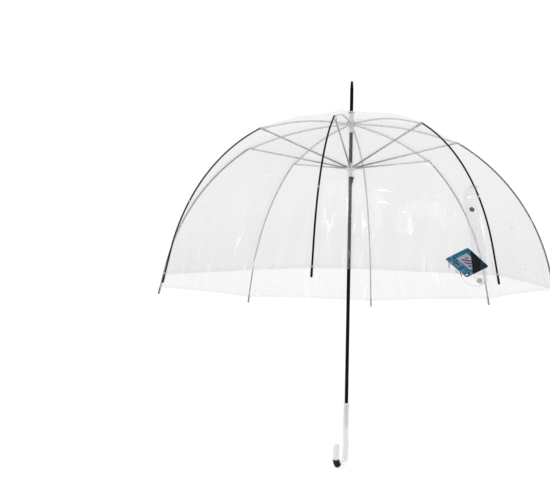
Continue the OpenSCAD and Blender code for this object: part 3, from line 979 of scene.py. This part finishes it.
# ---------------------------------------------------------------- crook handle
h_lo, h_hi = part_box("handle")
HANDLE_R = (h_hi.x - h_lo.x) / 2
CROOK_R = 0.023
CROOK_Z = h_lo.z + CROOK_R + HANDLE_R
HANDLE_TOP = h_hi.z
SHAFT_R = (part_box("shaft")[1].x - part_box("shaft")[0].x) / 2
SEAT_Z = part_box("shaft")[0].z


def crook_point(a):
    """Point and tangent of the crook's centre line, a radians past the start of the bend."""
    point = Vector((0, -CROOK_R + CROOK_R * math.cos(a), CROOK_Z - CROOK_R * math.sin(a)))
    return point, Vector((0, -math.sin(a), -math.cos(a)))


def make_handle():
    segs = 48
    side = Vector((1, 0, 0))
    rings = []

    def ring(c, tangent, r):
        rings.append((c, side, side.cross(tangent).normalized(), r, r))

    down = Vector((0, 0, -1))
    # bore, from its floor up, then the rim and the outside
    bore = SHAFT_R + 0.00003
    inner = [(SEAT_Z - 0.00005, bore), (SEAT_Z + 0.01, bore),
             (HANDLE_TOP - 0.0006, bore), (HANDLE_TOP - 0.0001, bore + 0.0004)]
    outside = [(HANDLE_TOP, HANDLE_R - 0.0016), (HANDLE_TOP - 0.0003, HANDLE_R - 0.0009),
               (HANDLE_TOP - 0.0011, HANDLE_R - 0.0002), (HANDLE_TOP - 0.002, HANDLE_R)]
    # a shallow groove below the rim
    for d, r in ((-0.0009, 0.0), (-0.0005, 0.00025), (0.0, 0.0004), (0.0005, 0.00025), (0.0009, 0.0)):
        outside.append((HANDLE_TOP - 0.006 - d, HANDLE_R - r))
    outside = sorted(outside, key=lambda o: -o[0])
    for z, r in inner + outside:
        ring(Vector((0, 0, z)), down, r)
    for k in range(1, 12):
        z = (HANDLE_TOP - 0.008) + (CROOK_Z - HANDLE_TOP + 0.008) * k / 12
        ring(Vector((0, 0, z)), down, HANDLE_R)
    for k in range(0, 41):
        c, t = crook_point(math.pi * k / 40)
        ring(c, t, HANDLE_R)
    # the free end leans in towards the shaft
    end_r, turn = 0.060, math.radians(18)
    centre = Vector((0, -2 * CROOK_R + end_r, CROOK_Z))
    for k in range(1, 11):
        a = turn * k / 10
        c = centre + Vector((0, -end_r * math.cos(a), end_r * math.sin(a)))
        t = Vector((0, math.sin(a), math.cos(a)))
        ring(c, t, HANDLE_R)
    for k in range(1, 10):
        b = math.pi / 2 * k / 10
        ring(c + t * (HANDLE_R * math.sin(b)), t, HANDLE_R * math.cos(b))
    verts, faces = sweep(rings, segs)
    ob = new_object("handle_crook", verts, faces, M_HANDLE)
    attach(ob, ROOT)
    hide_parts("handle")


make_handle()


def make_label():
    """Thin wrap on the outside of the bend."""
    rows, cols = 26, 22
    a0, a1 = math.pi - math.radians(53), math.pi - math.radians(15)
    verts, uv = [], []
    for side in (0, 1):
        for k in range(rows + 1):
            for c in range(cols + 1):
                fu, fv = k / rows, c / cols
                a = a0 + (a1 - a0) * fu
                b = math.radians(-98 + 196 * fv)
                # rounded corners
                cu, cv = abs(2 * fu - 1), abs(2 * fv - 1)
                shrink = 1 - 0.06 * smooth((cu * cv - 0.7) / 0.3)
                a = (a0 + a1) / 2 + (a - (a0 + a1) / 2) * shrink
                b *= shrink
                p = crook_point(a)[0]
                radial = Vector((0, p.y + CROOK_R, p.z - CROOK_Z)).normalized()
                d = radial * math.cos(b) + Vector((1, 0, 0)) * math.sin(b)
                verts.append(p + d * (HANDLE_R + (0.00034 if side else 0.00004)))
                uv.append((fu, fv, 0))
    w, half = cols + 1, (rows + 1) * (cols + 1)
    faces = []
    for k in range(rows):
        for c in range(cols):
            v = k * w + c
            faces.append((v, v + 1, v + 1 + w, v + w))
            faces.append((half + v, half + v + w, half + v + 1 + w, half + v + 1))
    for a, b in pairs_round(border_loop(rows, cols)):
        faces.append((a, half + a, half + b, b))
    ob = new_object("handle_label_wrap", verts, faces, M_LABEL)
    vector_attribute(ob, "piece_uv", uv)
    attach(ob, ROOT)
    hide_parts("handle_label")


make_label()

# ---------------------------------------------------------------- materials on the carried-over frame
CAD_LOOKS = {"shaft": M_SHAFT, "ferrule": M_FERRULE, "catch_spring": M_CATCH}
CAD_LOOKS |= dict.fromkeys(("crown_washer", "top_notch", "runner"), M_WHITE)
CAD_LOOKS |= dict.fromkeys(("notch_wire", "notch_pin", "runner_wire"), M_WIRE)
CAD_LOOKS |= {f"stretcher_{i}": M_STRETCH for i in range(1, RIBS + 1)}
for node, look in CAD_LOOKS.items():
    mesh = frame["nodes"][node].data
    mesh.materials.clear()
    mesh.materials.append(look)

# ---------------------------------------------------------------- stage
FLOOR_Z = h_lo.z - 0.19


def make_stage():
    n = Nodes("studio_floor")
    grain = n.noise(n.coords(), 3.0, 3.0)
    colour = n.mix(n.ramp(grain, 0.3, 0.7), rgb(*grey(0.95)), rgb(*grey(0.97)))
    floor_mat = n.done(n.principled(Base_Color=colour, Roughness=0.8).outputs[0])
    size, verts, faces = 14.0, [], []
    k = 2
    for a in range(k + 1):
        for b in range(k + 1):
            verts.append((-size + 2 * size * a / k, -size + 2 * size * b / k, FLOOR_Z))
    for a in range(k):
        for b in range(k):
            v = a * (k + 1) + b
            faces.append((v, v + k + 1, v + k + 2, v + 1))
    floor = new_object("floor", verts, faces, floor_mat)
    world = bpy.data.worlds.new("studio")
    bpy.context.scene.world = world
    world.use_nodes = True
    bg = world.node_tree.nodes["Background"]
    bg.inputs[0].default_value = (1, 1, 1, 1)
    bg.inputs[1].default_value = 1.05


make_stage()


AIM = Vector((0, 0, 0.45))  # what the lights point at


def soft_box(name, azimuth, elevation, distance, size, power):
    data = bpy.data.lights.new(name, "AREA")
    data.shape = "RECTANGLE"
    data.size, data.size_y = size
    data.energy = power
    ob = bpy.data.objects.new(name, data)
    bpy.context.scene.collection.objects.link(ob)
    a, e = math.radians(azimuth), math.radians(elevation)
    towards = Vector((math.cos(a) * math.cos(e), math.sin(a) * math.cos(e), math.sin(e)))
    ob.location = AIM + distance * towards
    ob.rotation_euler = (AIM - ob.location).to_track_quat("-Z", "Y").to_euler()
    ob.visible_camera = False
    ob.visible_glossy = name == "key"


soft_box("key", -29, 44, 2.6, (0.12, 1.1), 3)
soft_box("fill", -125, 38, 3.0, (1.6, 1.6), 8)
soft_box("back", 70, 50, 3.0, (2.0, 2.0), 8)


# ---------------------------------------------------------------- camera
def make_camera():
    data = bpy.data.cameras.new("photo_camera")
    cam = bpy.data.objects.new("photo_camera", data)
    bpy.context.scene.collection.objects.link(cam)
    data.sensor_width = 36
    data.lens = 53.342
    data.shift_x, data.shift_y = -0.0665, 0.0918
    az, distance, height = math.radians(25.12), 1.7364, 0.1605
    yaw, pitch, roll = math.radians(27.70), math.radians(3.65), math.radians(1.16)
    forward = Vector((-math.sin(yaw) * math.cos(pitch), math.cos(yaw) * math.cos(pitch), math.sin(pitch)))
    right = Vector((math.cos(yaw), math.sin(yaw), 0))
    up = right.cross(forward)
    r2 = right * math.cos(roll) + up * math.sin(roll)
    u2 = up * math.cos(roll) - right * math.sin(roll)
    m = Matrix((r2, u2, -forward)).transposed().to_4x4()
    m.translation = Vector((distance * math.sin(az), -distance * math.cos(az), height))
    cam.matrix_world = m
    data.clip_end = 60
    bpy.context.scene.camera = cam


make_camera()
bpy.context.scene.view_settings.view_transform = "Standard"
